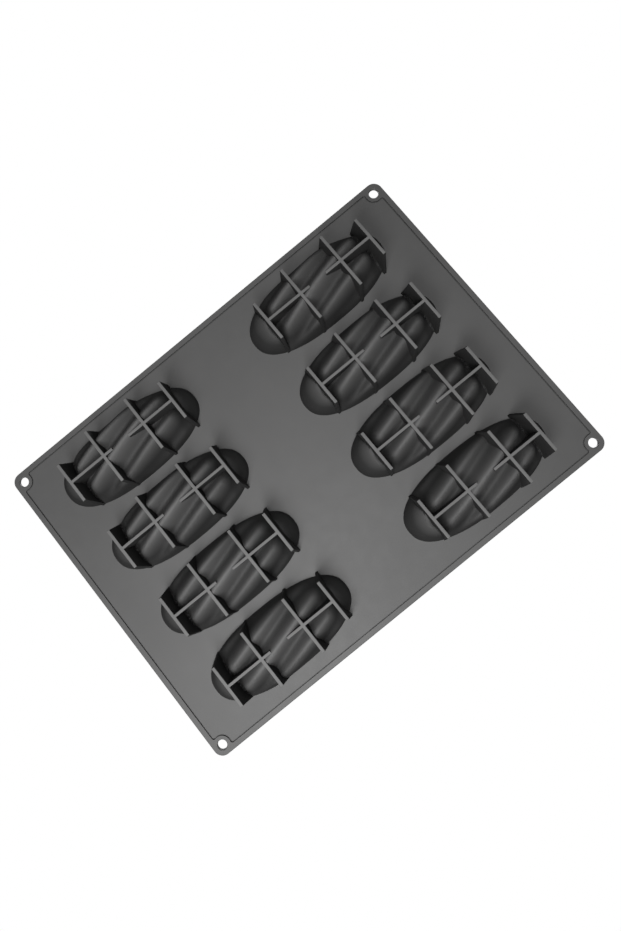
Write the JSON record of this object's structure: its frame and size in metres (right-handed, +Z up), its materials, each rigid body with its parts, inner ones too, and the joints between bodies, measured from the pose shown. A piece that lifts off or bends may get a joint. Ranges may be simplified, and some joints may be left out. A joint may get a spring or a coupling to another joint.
{
  "type": "baking mould",
  "caption": "Flexible rectangular baking and dessert mould with oblong folded cups on a beaded sheet, carried on crossed ribs underneath, with an eyelet in each corner.",
  "frame": {"origin": "centre of the footprint, on the plane of the rib tops that the mould stands on", "axes": "+Z up, out of the cups' mouths; +X along the long side of the sheet; +Y along the short side"},
  "size_m": [0.4, 0.29, 0.0315],
  "materials": {
    "sheet": "matte dark grey silicone",
    "cup": "matte dark grey silicone with a soft sheen",
    "rib": "matte dark grey silicone, paler on the cut tops"
  },
  "bodies": {
    "root": {"flat_sheet": "sheet", "edge_bead": "sheet", "corner_eyelet_1": "sheet", "corner_eyelet_2": "sheet", "corner_eyelet_3": "sheet", "corner_eyelet_4": "sheet", "cup_1": "cup", "ribs_west_1": "rib", "ribs_east_1": "rib", "cup_2": "cup", "ribs_west_2": "rib", "ribs_east_2": "rib", "cup_3": "cup", "ribs_west_3": "rib", "ribs_east_3": "rib", "cup_4": "cup", "ribs_west_4": "rib", "ribs_east_4": "rib", "cup_5": "cup", "ribs_west_5": "rib", "ribs_east_5": "rib", "cup_6": "cup", "ribs_west_6": "rib", "ribs_east_6": "rib", "cup_7": "cup", "ribs_west_7": "rib", "ribs_east_7": "rib", "cup_8": "cup", "ribs_west_8": "rib", "ribs_east_8": "rib"}
  },
  "joints": []
}
